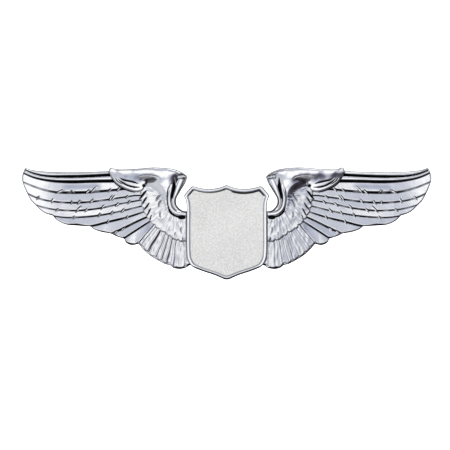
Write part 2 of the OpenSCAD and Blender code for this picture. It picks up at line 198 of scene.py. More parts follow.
# Heights of the shoulder's smooth form, as x, z and height: the roll along the leading edge, its
# slope up to the outline, the bowl under it, the thumb feathers, then the breast beside the neck
SHOULDER_FORM = [
    (7.6, 9.2, 2.55), (8.6, 9.5, 2.8), (9.6, 9.95, 2.9), (11, 10.2, 2.95), (13.5, 10.3, 2.96),
    (17, 10.1, 2.9), (20, 10, 2.78), (21.6, 10.2, 2.6), (7.9, 9.8, 2.3), (9.3, 10.35, 2.54),
    (11, 10.7, 2.7), (13.5, 10.85, 2.74), (17, 10.6, 2.7), (20.2, 10.5, 2.62), (11.3, 9.5, 2.96),
    (13, 9.6, 2.97), (15, 9.55, 2.96), (17, 9.4, 2.86), (19, 9.45, 2.76), (20.9, 9.6, 2.62),
    (12.2, 8.8, 2.93), (13.2, 9.1, 2.9), (14.4, 9.2, 2.88), (15.8, 9.05, 2.8), (13.2, 8.5, 2.66),
    (14.4, 8.6, 2.58), (15.6, 8.5, 2.54), (13.2, 7.6, 2.56), (14.2, 7.7, 2.44), (15.4, 7.8, 2.42),
    (14.2, 7, 2.4), (16.8, 8.6, 2.6), (18.4, 8.8, 2.6), (20.2, 9.05, 2.56), (16.6, 7.4, 2.38),
    (18.2, 7.8, 2.44), (19.8, 8.3, 2.48), (16.8, 6.6, 2.32), (18.6, 7, 2.34), (20.3, 7.9, 2.38),
    (21.4, 9, 2.42), (10.4, 8.8, 2.88), (11.3, 8.4, 2.85), (12.1, 7.9, 2.78), (10.7, 7.2, 2.74),
    (11.5, 6.8, 2.69), (12.4, 6.6, 2.61), (11.1, 5.4, 2.6), (11.9, 5.2, 2.54), (12.8, 5.4, 2.46),
    (11.3, 4, 2.47), (12, 3.8, 2.41), (11, 2.8, 2.37), (13.4, 6.6, 2.5), (12.6, 4.4, 2.4),
    (11.6, 7.6, 2.77), (12.4, 7.2, 2.68), (13.2, 5.8, 2.44), (14, 5.8, 2.38), (9.3, 9, 2.74),
    (8.2, 8.4, 2.25), (9, 6.4, 2.15), (9.7, 4.6, 2.15), (9.4, 3, 2.05), (8, 2.3, 2),
    (10.3, 1.9, 2.2), (7, 1.7, 1.95),
]
# Rounded rolls of the throat, neck and head: points, half widths and crest heights
ROLLS = [
    ([[8.45, 8.3], [8.75, 7.6], [9.3, 6.2], [9.75, 4.9], [9.85, 4], [9.4, 3.1], [8.6, 2.6], [7.2, 2.4]],
     [0.95, 0.85, 0.62, 0.42, 0.38, 0.38, 0.4, 0.4], [2.5, 2.5, 2.45, 2.3, 2.2, 2.1]),
    ([[10.2, 7.4], [10.42, 6.3], [10.65, 5.2], [10.62, 4.2], [10.35, 3.2], [9.7, 2.45], [8.8, 2.1],
      [7.2, 2]], [0.2, 0.36, 0.42, 0.42, 0.5, 0.55, 0.5], [2.7, 2.7, 2.6, 2.5, 2.4, 2.3]),
    ([[7.6, 8.82], [8.2, 8.9], [8.9, 8.85]], [0.22, 0.3, 0.22], [2.6, 2.8, 2.7]),
]
# Grooves of the shoulder and neck, with painted shade in them: points, half width, depth
SHOULDER_GROOVES = [
    ([[9.72, 8.75], [9.78, 7.7], [9.98, 6.5], [10.2, 5.4], [10.38, 4.4]], 0.28, 0.5),
    ([[9.5, 7.6], [9.75, 6.7], [10, 5.8]], 0.2, 0.25),
    ([[10.6, 7.2], [10.9, 6.4], [11.02, 5.2], [10.98, 4], [10.7, 3], [10.1, 2.2]], 0.1, 0.16),
    ([[10.9, 3.3], [10.55, 2.5], [9.9, 1.85], [9.2, 1.55], [8.4, 1.45]], 0.17, 0.35),
    ([[19.9, 8.75], [19.1, 8.35], [18.2, 8.15], [17.3, 7.95], [16.4, 7.65]], 0.19, 0.35),
    ([[20.1, 8.4], [19.3, 7.85], [18.4, 7.35], [17.3, 7.05], [16.2, 6.98]], 0.17, 0.35),
    ([[20.75, 8.75], [20.2, 8.1], [19.2, 7.45]], 0.08, 0.12),
    ([[21.65, 9.2], [21, 8.2], [19.9, 7.2], [18.4, 6.5], [17.1, 6.15], [16.3, 6.2]], 0.12, 0.25),
]
# Fainter creases: points, half width, depth and the darkness of their painted shade
SHOULDER_CREASES = [
    ([[7.35, 9], [7.9, 9.2], [8.6, 9.3], [9.4, 9.6]], 0.14, 0.12, 0.7),
    ([[12.1, 8.35], [12.8, 8.95], [14, 9.2], [15.4, 9.2], [16.6, 8.95]], 0.12, 0.08, 0.45),
    ([[13, 8.45], [14.2, 8.25], [15.4, 8.25]], 0.58, 0.05, 0.62),
    ([[7.45, 8.5], [7.9, 7.6], [8.8, 6.1], [9.45, 4.9], [9.45, 3.9], [8.85, 2.95], [8, 2.5], [6.6, 2.35]],
     0.15, 0.1, 0.85),
]
# Pits with painted shade in them: centre, half sizes and depth
PITS = [((8.35, 1.42), (0.8, 0.42), 0.55), ((15.35, 7.3), (0.32, 0.3), 0.35)]
# Gaps between the scapular feathers, at the outer edge of the coverts, with painted shade in them
SCAPULAR_GAPS = [
    ([[14.85, 6.45], [15.3, 5.95], [15.8, 5.3], [16.3, 4.75]], 0.2),
    ([[14.8, 5.25], [15.2, 4.7], [15.7, 3.8]], 0.14),
    ([[14.35, 4.2], [14.8, 3.5], [15.45, 2.7]], 0.12),
    ([[14.1, 3.1], [14.45, 2.4], [14.8, 1.7]], 0.12),
    ([[13.9, 1.9], [14.1, 1.5], [14.2, 0.9]], 0.06),
]
# Soft hollows between the inner coverts, with painted shade in them
COVERT_HOLLOWS = [
    ([[12.2, 5.7], [12.8, 5.1], [13.2, 4.4]], 0.22), ([[12, 4.7], [12.5, 4.1], [12.7, 3.3]], 0.2),
    ([[12.3, 2.4], [12.4, 1.9], [12.3, 1.3]], 0.16), ([[8.2, -2.3], [8.1, -2.85], [8.6, -3]], 0.14),
    ([[9.5, -1.3], [9.6, -1.7], [9.55, -2.1]], 0.1), ([[8.4, -0.3], [8.45, -0.9], [8.4, -1.7]], 0.1),
]
HOLLOW = [
    [[0, 1.3], [9.8, 1.3]],
    [[10.8, 4], [10.6, 7.5], [12.5, 9.2], [20, 9.1], [28, 8.6], [34, 8.7], [36.7, 8.6]],
    [[36.5, 7.2], [35.2, 4.9], [33, 3.2], [30.5, 1.5], [26, 1.1], [22, 0.2], [18.5, -1.5],
     [15.5, -3], [13, -5.2], [9.5, -6.8], [7, -6.4]],
    [[0, -6]],
]
# Darker stretches of the trailing edge: points and half width
EDGE_SHADOWS = [
    ([[30, 0.18], [28.2, 0.06], [26.6, -0.08], [25.4, -0.16]], 0.3),
    ([[18.7, -3.05], [17.7, -3.58], [16.5, -3.4]], 0.3), ([[18.9, -2.3], [19.4, -2.35]], 0.24),
    ([[9.9, -7.8], [8.8, -8.02], [7.7, -7.85]], 0.26), ([[24.2, -0.85], [23, -1.25], [21.5, -1.47]], 0.22),
    ([[21, -1.75], [20.2, -2.1]], 0.2), ([[7.3, -7.3], [6.8, -7.45], [6.3, -7.6]], 0.45),
    ([[33.4, 2.15], [32.4, 1.85], [31.6, 1.1]], 0.16),
]
SHIELD = [
    [[0, 7.5], [1.3, 6.95], [3.2, 6.7], [5, 6.9], [6.4, 7.3]],
    [[7.2, 6.4], [8, 5.4]],
    [[7.6, 4.6], [7.45, 3.4], [7.45, 0], [7.45, -4.5], [7.25, -6.4], [6.5, -7.75]],
    [[4.5, -8.55], [2.2, -9.3], [0, -10.3]],
]
SHIELD_FIELD = [
    [[0, 6.8], [1.3, 6.3], [3.2, 6.05], [5, 6.25], [6.15, 6.6]],
    [[6.7, 5.95], [7.25, 5.3]],
    [[6.95, 4.5], [6.8, 3.3], [6.8, 0], [6.8, -4.5], [6.6, -6.2], [6, -7.3]],
    [[4.3, -8], [2.1, -8.7], [0, -9.6]],
]

# ---- curves ----------------------------------------------------------------

FAR = 1e9


def spline(points, steps=8):
    """Catmull-Rom curve through the points, with that many steps between two of them."""
    p = np.asarray(points, float)
    if len(p) == 2:
        return p[0] + (p[1] - p[0]) * np.linspace(0, 1, steps + 1)[:, None]
    p = np.vstack([2 * p[0] - p[1], p, 2 * p[-1] - p[-2]])
    t = np.linspace(0, 1, steps, endpoint=False)[:, None]
    rows = [
        0.5 * (2 * b + (c - a) * t + (2 * a - 5 * b + 4 * c - d) * t**2 + (3 * b - a - 3 * c + d) * t**3)
        for a, b, c, d in zip(p, p[1:], p[2:], p[3:])
    ]
    return np.vstack(rows + [p[-2][None]])


def curve(parts, number):
    """One curve of an outline, from the end of the one before."""
    return parts[number] if number == 0 else parts[number - 1][-1:] + parts[number]


def chain(parts, steps=8):
    """An outline's curves end to end, with a corner where two of them meet."""
    curves = [spline(curve(parts, i), steps)[:-1] for i in range(len(parts))]
    return np.vstack(curves + [np.asarray(parts[-1][-1:], float)])


def height_at(points, x):
    """How high a curve is at each x."""
    return np.interp(x, *spline(points).T)


def smooth(low, high, value):
    """0 up to low, 1 from high on, and a soft step between them."""
    t = np.clip((value - low) / (high - low), 0, 1)
    return t * t * (3 - 2 * t)


def between(first, second, share):
    """What lies that share of the way from one number, grid or outline to another."""
    return first + (second - first) * share


def closed(outline):
    """The outline with its first point again at its end."""
    return np.vstack([outline, outline[:1]])


def lengths(path):
    """How far along a path each of its points is."""
    return np.concatenate([[0], np.cumsum(np.hypot(*np.diff(path, axis=0).T))])


def nearest(line, x, z):
    """Distance of each point from a line, how far along the line that is, and the line's length."""
    best = np.full(x.shape, FAR)
    along = np.zeros(x.shape)
    start = 0.0
    for a, b in zip(line, line[1:]):
        d = b - a
        length = math.hypot(*d)
        if length < 1e-9:
            continue
        t = np.clip(((x - a[0]) * d[0] + (z - a[1]) * d[1]) / length**2, 0, 1)
        r = np.hypot(x - (a[0] + t * d[0]), z - (a[1] + t * d[1]))
        closer = r < best
        best[closer] = r[closer]
        along[closer] = start + t[closer] * length
        start += length
    return best, along, start


def signed_distance(loops, x, z):
    """Distance from closed outlines, negative outside them and in their holes."""
    inside = np.zeros(x.shape, bool)
    distance = np.full(x.shape, FAR)
    for outline in loops:
        line = closed(outline)
        for (ax, az), (bx, bz) in zip(line, line[1:]):
            if az != bz:
                inside ^= ((az > z) != (bz > z)) & (x < (bx - ax) * (z - az) / (bz - az) + ax)
        distance = np.minimum(distance, nearest(line, x, z)[0])
    return np.where(inside, distance, -distance)


def snap(loops, x, z):
    """The outlines' nearest point to each point."""
    best = np.full(x.shape, FAR)
    bx, bz = x.copy(), z.copy()
    for outline in loops:
        line = closed(outline)
        distance, along, _ = nearest(line, x, z)
        closer = distance < best
        best[closer] = distance[closer]
        bx[closer] = np.interp(along[closer], lengths(line), line[:, 0])
        bz[closer] = np.interp(along[closer], lengths(line), line[:, 1])
    return bx, bz


# ---- relief ----------------------------------------------------------------

WAVES = 7  # how many directions the irregular waves are made of


class Relief:
    """Heights over a grid of artwork points, and the shade painted into their crevices."""

    def __init__(self, x, z):
        self.x, self.z = x, z
        self.h = np.zeros_like(x)
        self.painted_shade = np.zeros_like(x)

    def near(self, points, half_width):
        """The part of the grid near a line, its distance from the line, and from its ends as a share."""
        line = spline(points)
        low, high = line.min(0) - 2 * half_width, line.max(0) + 2 * half_width
        rows = slice(*np.searchsorted(self.z[:, 0], (low[1], high[1])))
        cols = slice(*np.searchsorted(self.x[0], (low[0], high[0])))
        d, along, total = nearest(line, self.x[rows, cols], self.z[rows, cols])
        return (rows, cols), d, np.minimum(along, total - along) / total

    def darken(self, shade, part=...):
        """Paints shade into the crevices, at least that dark."""
        self.painted_shade[part] = np.maximum(self.painted_shade[part], shade)

    def stroke(self, points, half_width, depth, dark=1.0, ends=0.25):
        """Cuts a groove along a line and paints shade into it; it tapers over that share of its length at
        each end.
        """
        part, d, inward = self.near(points, half_width)
        taper = np.clip(inward / ends, 0.15, 1) ** 0.7
        reach = d / (half_width * taper)
        self.h[part] -= depth * taper * (1 - smooth(0.1, 1, reach))
        self.darken(dark * (1 - smooth(0.55, 1.05, reach)), part)

    def strokes(self, rows, **same):
        """Cuts the grooves of a table's rows."""
        for points, *sizes in rows:
            self.stroke(points, *sizes, **same)

    def sliver(self, points, half_width, height):
        """Lays a flat bright barb across the dark line."""
        part, d, inward = self.near(points, half_width)
        self.cover(height, 1 - smooth(0.75, 1, d / (half_width * np.clip(inward / 0.35, 0.3, 1))), part)

    def pit(self, centre, size, depth):
        """Sinks an oval hole with painted shade in it."""
        d = np.hypot((self.x - centre[0]) / size[0], (self.z - centre[1]) / size[1])
        self.h -= depth * (1 - smooth(0.4, 1, d))
        self.darken(1 - smooth(0.6, 1.05, d))

    def cover(self, height, amount, part=...):
        """Lays a surface over what is there, where amount is 1."""
        self.h[part] += (height - self.h[part]) * amount
        self.painted_shade[part] *= 1 - amount


def waves(x, z, size):
    """Gentle irregular waves, between about -1 and 1, each some size millimetres long."""
    total = np.zeros_like(x)
    for i in range(WAVES):
        turn = 2.4 * i + 0.7
        step = 2 * math.pi / (size * (0.75 + 0.13 * i))
        total += np.sin(step * (x * math.cos(turn) + z * math.sin(turn)) + 1.7 * i)
    return total / WAVES


def flight_feathers(relief):
    """Two round ribs along the leading edge, then overlapping vanes with a groove and painted shade under
    each.
    """
    x, z = relief.x, relief.z
    lines = [height_at(curve(PLATE_EDGE, LEADING_EDGE), x)]
    marks = []
    for points, halves in FEATHER_EDGES:
        along, height = spline(points).T
        lines.append(np.interp(x, along, height))
        slope = np.interp(x, along, np.gradient(height, along))
        marks.append((slope, np.interp(x, np.linspace(along[0], along[-1], 3), halves)))
    vane = np.clip(sum((z < line).astype(int) for line in lines) - 1, 0, len(FEATHER_EDGES))
    for k in range(len(FEATHER_EDGES) + 1):
        lower = lines[k + 1] if k < len(FEATHER_EDGES) else lines[k] - LAST_VANE
        v = np.clip((lines[k] - z) / np.maximum(lines[k] - lower, 0.05), 0, 1)
        level = FEATHER_TOP - FEATHER_STEP * k
        if k < RIBS:
            height = level + RIB_SWELL * np.sqrt(np.clip(1 - (2 * v**1.35 - 1) ** 2, 0, 1))
        else:
            # the slope wavers from vane to vane and along each, and is steeper in the lowest ones
            tilt = VANE_TILT + 0.025 * math.sin(2.3 * k) + 0.02 * np.sin(0.31 * x + 1.9 * k)
            tilt += 0.012 * max(k - 6, 0)
            rise = np.minimum(tilt * (lines[k] - lower), VANE_RISE) * (1 - 0.5 * smooth(TIP_X, 36, x))
            height = level + rise * v - 0.06 * smooth(0.86, 1, v)
            if k == BLUE_VANE:
                height += 0.1 * (smooth(23, 24.5, x) - smooth(29.5, 31, x)) * smooth(0.2, 0.75, v)
        relief.h = np.where(vane == k, height, relief.h)
    relief.h -= TIP_FALL * np.clip(x - TIP_X, 0, 8)
    for k, (line, (slope, half)) in enumerate(zip(lines[1:], marks)):
        # the dark lines: grooves with painted shade, which is paler in places except under the ribs
        d = np.abs(z - line) / np.sqrt(1 + slope**2) / half
        breaks = 1 if k < RIBS else 0.8 + 0.4 * np.sin(1.9 * x + 3 * line) * np.sin(0.83 * x + 1.3 + k)
        relief.h -= LINE_DEPTH * half * (1 - smooth(0.1, 1, d))
        fade = 1 - TIP_FADES[min(k, len(TIP_FADES) - 1)] * smooth(30, 34.5, x)
        relief.darken(fade * np.clip(breaks, 0, 1) * (1 - smooth(0.5, 1.1, d)))
    splits(relief)
    barbs = np.sin(17 * (x * 0.72 + z * 0.69) + 0.8 * waves(x, z, 2.9))
    relief.h += BARB_H * barbs


def splits(relief):
    """Slits in the vanes, each with a bright barb beside it that crosses the dark line."""
    for edge, at, length, lean in SPLITS:
        start = np.array([at, height_at(FEATHER_EDGES[edge - 1][0], at)])
        step = np.array([-math.cos(math.radians(lean)), math.sin(math.radians(lean))])
        aside = np.array([-step[1], step[0]]) * 0.23
        slit = [start - 0.1 * step, start + 0.6 * length * step, start + 1.2 * length * step + [0, 0.05]]
        # each slit is a shallow groove with painted shade in it
        relief.stroke(slit, 0.09, 0.12, dark=0.9, ends=0.4)
        foot = start + aside
        barb = [foot - 0.3 * step, foot + 0.4 * length * step, foot + 1.1 * length * step]
        relief.sliver(barb, 0.14 + 0.03 * math.sin(at), BARB_TOP - FEATHER_STEP * edge)


def fan(relief, radius, angle):
    """Short feathers that hang below the coverts down to the trailing edge."""
    # feathers of uneven width, each with the share f of the way across it
    spread = (FAN_START - angle) / FAN_STEP + 0.1 * waves(relief.x, relief.z, 2.6)
    spread = spread + 0.3 * np.sin(1.3 * spread + 0.6)
    step = np.floor(spread)
    f = spread - step
    # each rises across itself by its own amount, then drops to the next
    lift = 0.115 + 0.04 * np.sin(2.7 * step)
    height = FAN_TOP + 0.03 * np.sin(2.1 * step) - 0.09 * (radius - COVERT_R)
    height += lift * (0.45 * f + 0.55 * f**2) * (1 - smooth(0.72, 1, f))
    height += 0.03 * waves(relief.x, 0.4 * relief.z, 0.9) + 0.012 * np.sin(5 * np.pi * f + step)
    # the fan stays below the last flight feather
    last_feather = FEATHER_EDGES[-1][0]
    below = smooth(-0.03, 0.03, height_at(last_feather, relief.x) - relief.z)
    amount = np.where(relief.x > last_feather[0][0], below, 1)
    relief.cover(height, amount)
    # painted shade in the drop from each fan feather to the next, and at least SOFT_SHADE over all of them
    shade = smooth(0.86, 0.97, f) * np.clip(0.1 + 0.4 * np.sin(3.3 * step), 0, 1) * smooth(11.5, 8, radius)
    relief.darken(np.maximum(shade, SOFT_SHADE) * amount)


def coverts(relief, radius, angle):
    """Rows of small soft feathers, with a scalloped edge over the fan."""
    x, z = relief.x, relief.z
    field = 0
    outer = COVERT_R + 1.1 * smooth(-62, -95, angle)
    for row in range(COVERT_ROWS):
        # feathers this many degrees wide, staggered from row to row, with rounded ends
        width = 9.5 + 1.8 * row
        f = angle / width + 0.5 * (row % 2) + 0.12 * np.sin(0.35 * angle + row)
        f = f - np.floor(f)
        lobe = np.sqrt(np.clip(1 - (2 * f - 1) ** 2, 0, 1))
        reach = outer - 1.3 * row - 0.35 * (1 - lobe) + (0.1 + 0.12 * row) * waves(x, z, 2.3)
        inward = reach - radius
        lip = 0.04 if row == 0 else 0.01
        height = COVERT_TOP + 0.1 * np.clip(outer - radius, 0, 5) + 0.008 * lobe
        height -= lip * (1 - smooth(0, 0.15, inward))
        amount = smooth(-0.05, 0.06 + 0.14 * min(row, 1), inward)
        relief.cover(height, amount)
        field = np.maximum(field, amount)
    # fine down, and streaks that run outwards
    down = np.sin(2 * np.pi * (angle / 5.3 + 0.6 * waves(x, z, 1.9)))
    streaks = waves(angle / 6, 0.5 * radius, 1.1)
    relief.h += (0.006 * down + 0.03 * streaks + 0.024 * waves(x, z, 1.35)) * field
    # painted shade over the coverts, darker where the streaks dip
    relief.darken(np.clip(SOFT_SHADE - 0.1 * streaks, 0, 1) * field)
    relief.strokes(COVERT_HOLLOWS, depth=0.1, dark=0.3)
    relief.strokes(SCAPULAR_GAPS, depth=0.25)


def soft_max(a, b, softness):
    """The larger of two heights, with a rounded change from one to the other."""
    apart = np.abs(a - b)
    blend = np.log1p(np.exp(-apart / softness)) - math.log(2) * np.exp(-apart)
    return np.maximum(a, b) + softness * blend


def roll(relief, points, halves, crests, where):
    """A rounded roll laid along a line, with its half widths and crest heights spread along it."""
    d, along, total = nearest(spline(points), relief.x, relief.z)
    width = np.interp(along, np.linspace(0, total, len(halves)), halves)
    crest = np.interp(along, np.linspace(0, total, len(crests)), crests)
    height = crest - 0.5 * width * (d / width) ** 2.4  # a little flatter on top than a round bar
    near = where & (d < 1.6 * width)
    relief.h = np.where(near, soft_max(relief.h, height, 0.03), relief.h)


def blended(controls, x, z):
    """Smooth surface through control points of x, z and height, as a thin plate would bend."""
    c = np.asarray(controls, float)

    def kernel(r2):
        return r2 * np.log(r2 + 1e-9)

    n = len(c)
    system = np.zeros((n + 3, n + 3))
    system[:n, :n] = kernel((c[:, None, 0] - c[None, :, 0]) ** 2 + (c[:, None, 1] - c[None, :, 1]) ** 2)
    system[:n, n] = system[n, :n] = 1
    system[:n, n + 1:] = c[:, :2]
    system[n + 1:, :n] = c[:, :2].T
    weights = np.linalg.solve(system, np.append(c[:, 2], [0, 0, 0]))
    height = weights[n] + weights[n + 1] * x + weights[n + 2] * z
    for (cx, cz, _), weight in zip(c, weights):
        height = height + weight * kernel((x - cx) ** 2 + (z - cz) ** 2)
    return height


def shoulder(relief):
    """The smooth shoulder over the wing's root, its thumb feathers, and the neck down to the shield."""
    x, z = relief.x, relief.z
    depth = signed_distance([chain(SHOULDER)], x, z)
    within = depth > -0.1
    form = np.where(within, 0.0, relief.h)
    form[within] = blended(SHOULDER_FORM, x[within], z[within])
    # the thumb feathers' edges are rounded over, and the long inner curve fades into the coverts
    form -= 0.2 * (1 - smooth(0, 0.3, depth)) * smooth(15.8, 16.4, x)
    melt = nearest(spline(curve(SHOULDER, MELTING_EDGE)), x, z)[0]
    reach = 0.05 + 1.5 * smooth(15.6, 14.6, x) * smooth(2.4, 3.4, z)
    relief.cover(form, smooth(-0.04, 0.06, depth) * smooth(0, 1, (melt + 0.05) / reach))
    for points, halves, crests in ROLLS:
        roll(relief, points, halves, crests, depth > 0)
    relief.strokes(SHOULDER_GROOVES)
    relief.strokes(SHOULDER_CREASES)
    for pit in PITS:
        relief.pit(*pit)


def front_relief(x, z):
    """Heights of the right wing's front, and the shade painted into its crevices."""
    relief = Relief(x, z)
    radius = np.hypot(x - FAN_CENTRE[0], z - FAN_CENTRE[1])
    angle = np.degrees(np.arctan2(z - FAN_CENTRE[1], x - FAN_CENTRE[0]))
    angle = np.where(angle > 120, angle - 360, angle)
    flight_feathers(relief)
    fan(relief, radius, angle)
    coverts(relief, radius, angle)
    shoulder(relief)
    relief.h += 0.006 * waves(x, z, 2.6)
    edge = signed_distance([chain(PLATE_EDGE)], x, z)
    edge = np.where(x < 0.02, 1.0, edge)  # the two halves meet there, so it is no edge
    relief.cover(SEAT_H, smooth(-0.12, 0.12, signed_distance([open_half(SHIELD)], x, z)))
    # a narrow border with a scalloped inner edge, one scallop to a feather of the fan
    scallop = edge + 0.2 * np.abs(np.sin(math.pi * (angle - FAN_START) / FAN_STEP))
    border = (1 - smooth(0.42, 0.5, scallop)) * (angle < FAN_START) * (radius > COVERT_R + 0.3)
    relief.cover(BORDER_TOP, border)
    relief.strokes(EDGE_SHADOWS, depth=0.04, ends=0.5)
    # painted shade along the outline, darker low down and lighter at the tip
    rim_shade = 0.45 + 0.25 * smooth(2, 0, z) - 0.2 * smooth(29, 34, x)
    relief.darken(rim_shade * (1 - smooth(0.03, 0.17, edge)))
    rise = np.clip(edge / EDGE_R, 0, 1)
    height = EDGE_H + (relief.h - EDGE_H) * np.sqrt(1 - (1 - rise) ** 2)
    return height, relief.painted_shade


def open_half(parts):
    """The right half of an outline, closed well to the left of the middle."""
    line = chain(parts)
    return np.vstack([line, [[PAST_MIDDLE, line[-1][1]], [PAST_MIDDLE, line[0][1]]]])


def back_relief(x, z):
    """Depth of the hollow back, with a soft ghost of the front in its floor."""
    hollow = signed_distance([open_half(HOLLOW)], x, z)
    relief = Relief(x, z)
    flight_feathers(relief)
    ghost = 0.35 * (relief.h - 1.3) + 0.03 * waves(x, z, 1.7)
    for px, pz in POSTS:  # flat where the posts' heads are
        ghost = ghost * smooth(2.3, 3.6, np.hypot(x - px, z - pz))
    ghost = np.clip(ghost, 0, 0.3) * smooth(7.5, 10, x)
    return [(HOLLOW_DEPTH + ghost) * smooth(-0.15, 0.35, hollow)]


# ---- meshes ----------------------------------------------------------------

QUARTER = np.linspace(0, math.pi / 2, 7)  # steps round a quarter of a circle


def new_object(name, vertices, faces):
    """An object in the scene, from its vertices and faces."""
    mesh = bpy.data.meshes.new(name)
    mesh.from_pydata(vertices, [], faces)
    mesh.validate()
    obj = bpy.data.objects.new(name, mesh)
    bpy.context.scene.collection.objects.link(obj)
    return obj


def mark_painted_shade(obj, dark):
    """Stores the shade painted into the crevices at each vertex, which the plating reads."""
    painted_shade = obj.data.attributes.new("painted_shade", "FLOAT", "POINT")
    painted_shade.data.foreach_set("value", dark)


def grid_skin(loops, pitch):
    """Points and faces of a grid inside outlines, with its border moved onto them."""
    low, high = loops[0].min(0), loops[0].max(0)
    xs = np.arange(low[0], high[0] + 1.5 * pitch, pitch)
    zs = np.arange(low[1] - pitch, high[1] + 1.5 * pitch, pitch)
    x, z = np.meshgrid(xs, zs)
    depth = signed_distance(loops, x, z)
    keep = depth > -0.71 * pitch
    index = np.full(x.shape, -1)
    index[keep] = np.arange(keep.sum())
    border = keep & (depth < 0.36 * pitch)
    x[border], z[border] = snap(loops, x[border], z[border])
    a, b, c, d = index[:-1, :-1], index[:-1, 1:], index[1:, 1:], index[1:, :-1]
    corners = np.stack([a, b, c, d], -1).reshape(-1, 4)
    kept = (corners >= 0).sum(1)
    quads = corners[kept == 4].tolist()
    triangles = [[v for v in row if v >= 0] for row in corners[kept == 3].tolist()]
    return np.stack([x[keep], z[keep]], -1), quads + triangles


def in_front(points, height):
    """Where the artwork's points are in the scene, at that height in front of the back's plane."""
    return np.insert(points, 1, -height, axis=1) * SCALE


def open_edges(faces):
    """The edges that have a face on one side only, in the faces' own turning direction."""
    edges = {(a, b) for face in faces for a, b in zip(face, face[1:] + face[:1])}
    return {(a, b) for a, b in edges if (b, a) not in edges}


def border_loop(faces):
    """Vertices round the border of a set of faces."""
    following = dict(open_edges(faces))
    loop = [min(following)]
    while following[loop[-1]] != loop[0]:
        loop.append(following[loop[-1]])
    return loop


def zip_loops(first, first_at, second, second_at):
    """Triangles between two closed loops, matched by how far round each vertex is."""
    faces = []
    i = j = 0
    while i < len(first) or j < len(second):
        a, b = first[i % len(first)], second[j % len(second)]
        if first_at[i + 1] <= second_at[j + 1]:
            i += 1
            faces.append([a, b, first[i % len(first)]])
        else:
            j += 1
            faces.append([a, b, second[j % len(second)]])
    return faces


def round_the_loop(points, loop, outline):
    """Turns a loop to start nearest the outline's start, and says how far round its vertices are."""
    _, along, total = nearest(closed(outline), *points[loop].T)
    share = along / total
    if np.median(np.diff(share)) < 0:
        share = 1 - share
    start = int(np.argmin(share))
    share = np.maximum.accumulate(np.roll(share, -start))
    return loop[start:] + loop[:start], [*share, 1 + share[0], FAR]


def half_wing(name, side):
    """One half of the struck plate as a closed solid: relief in front, hollow behind."""
    outline = chain(PLATE_EDGE, steps=6)
    front, front_faces = grid_skin([outline], FRONT_PITCH)
    back, back_faces = grid_skin([outline], BACK_PITCH)
    height, dark = on_grid(front, FRONT_PITCH, front_relief)
    depth, = on_grid(back, BACK_PITCH, back_relief)
    count = len(front)
    front_loop, front_at = round_the_loop(front, border_loop(front_faces), outline)
    back_loop, back_at = round_the_loop(back, border_loop(back_faces), outline)
    depth[back_loop] = 0
    walls = zip_loops(front_loop, front_at, [v + count for v in back_loop], back_at)
    points = np.vstack([in_front(front, height), in_front(back, depth)]) * [side, 1, 1]
    faces = front_faces + [[v + count for v in face[::-1]] for face in back_faces] + walls
    if side < 0:
        faces = [face[::-1] for face in faces]
    obj = new_object(name, points.tolist(), faces)
    obj.data.shade_smooth()
    mark_painted_shade(obj, np.concatenate([dark, np.zeros(len(back))]))
    return obj


def on_grid(points, pitch, fields):
    """Evaluates fields on a regular grid and reads them at the points, between grid points bilinearly."""
    low, high = points.min(0) - 2 * pitch, points.max(0) + 3 * pitch
    x, z = np.meshgrid(*[np.arange(a, b, pitch) for a, b in zip(low, high)])
    u, v = ((points - low) / pitch).T
    i, j = u.astype(int), v.astype(int)
    values = []
    for field in fields(x, z):
        below, above = [between(field[row, i], field[row, i + 1], u - i) for row in (j, j + 1)]
        values.append(between(below, above, v - j))
    return values


def rounded_corners(outline, passes=20):
    """The outline with its corners eased a little."""
    for _ in range(passes):
        outline = 0.5 * outline + 0.25 * (np.roll(outline, 1, axis=0) + np.roll(outline, -1, axis=0))
    return outline


def both(line):
    """A half outline from x = 0 to x = 0, closed by its mirror image."""
    return np.vstack([line, line[-2:0:-1] * [-1, 1]])


def ring_faces(rings, around, joined=False):
    """Faces between rings of points, with flat ends unless the last ring meets the first."""
    faces = []
    for ring in range(rings if joined else rings - 1):
        a, b = ring * around, (ring + 1) % rings * around
        for i in range(around):
            j = (i + 1) % around
            faces.append([a + i, a + j, b + j, b + i])
    if not joined:
        last = (rings - 1) * around
        faces += [list(range(around))[::-1], [last + i for i in range(around)]]
    return faces


def swept_solid(name, rings):
    """A closed solid through rings, each an outline, its height and how dark the shade painted on it is."""
    count = len(rings[0][0])
    points = np.vstack([in_front(outline, height) for outline, height, _ in rings])
    obj = new_object(name, points.tolist(), ring_faces(len(rings), count))
    shade_with_edges(obj)
    mark_painted_shade(obj, np.concatenate([dark + np.zeros(count) for _, _, dark in rings]))
    return obj


def shade_with_edges(obj, angle=35):
    """Smooth shading that stays sharp where two faces meet at more than the angle."""
    bm = bmesh.new()
    bm.from_mesh(obj.data)
    bmesh.ops.recalc_face_normals(bm, faces=bm.faces)
    for face in bm.faces:
        face.smooth = True
    for edge in bm.edges:
        if len(edge.link_faces) == 2 and edge.calc_face_angle(0) > math.radians(angle):
            edge.smooth = False
    bm.to_mesh(obj.data)
    bm.free()


def arc(centre, radius, turns):
    """Points on a circle at those turns."""
    return np.column_stack([centre[0] + radius * np.cos(turns), centre[1] + radius * np.sin(turns)])


def circle(centre, radius, count=40):
    """Points all round a circle."""
    return arc(centre, radius, 2 * math.pi * np.arange(count) / count)


def bent_path(corners, radius):
    """A path whose right-angled corners are rounded."""
    c = np.asarray(corners, float)
    path = [c[:1]]
    for before, corner, after in zip(c, c[1:], c[2:]):
        into = (corner - before) / np.hypot(*(corner - before))
        out = (after - corner) / np.hypot(*(after - corner))
        turn = QUARTER[:, None]
        path.append(corner - radius * into * (1 - np.sin(turn)) + radius * out * (1 - np.cos(turn)))
    return np.vstack(path + [c[-1:]])


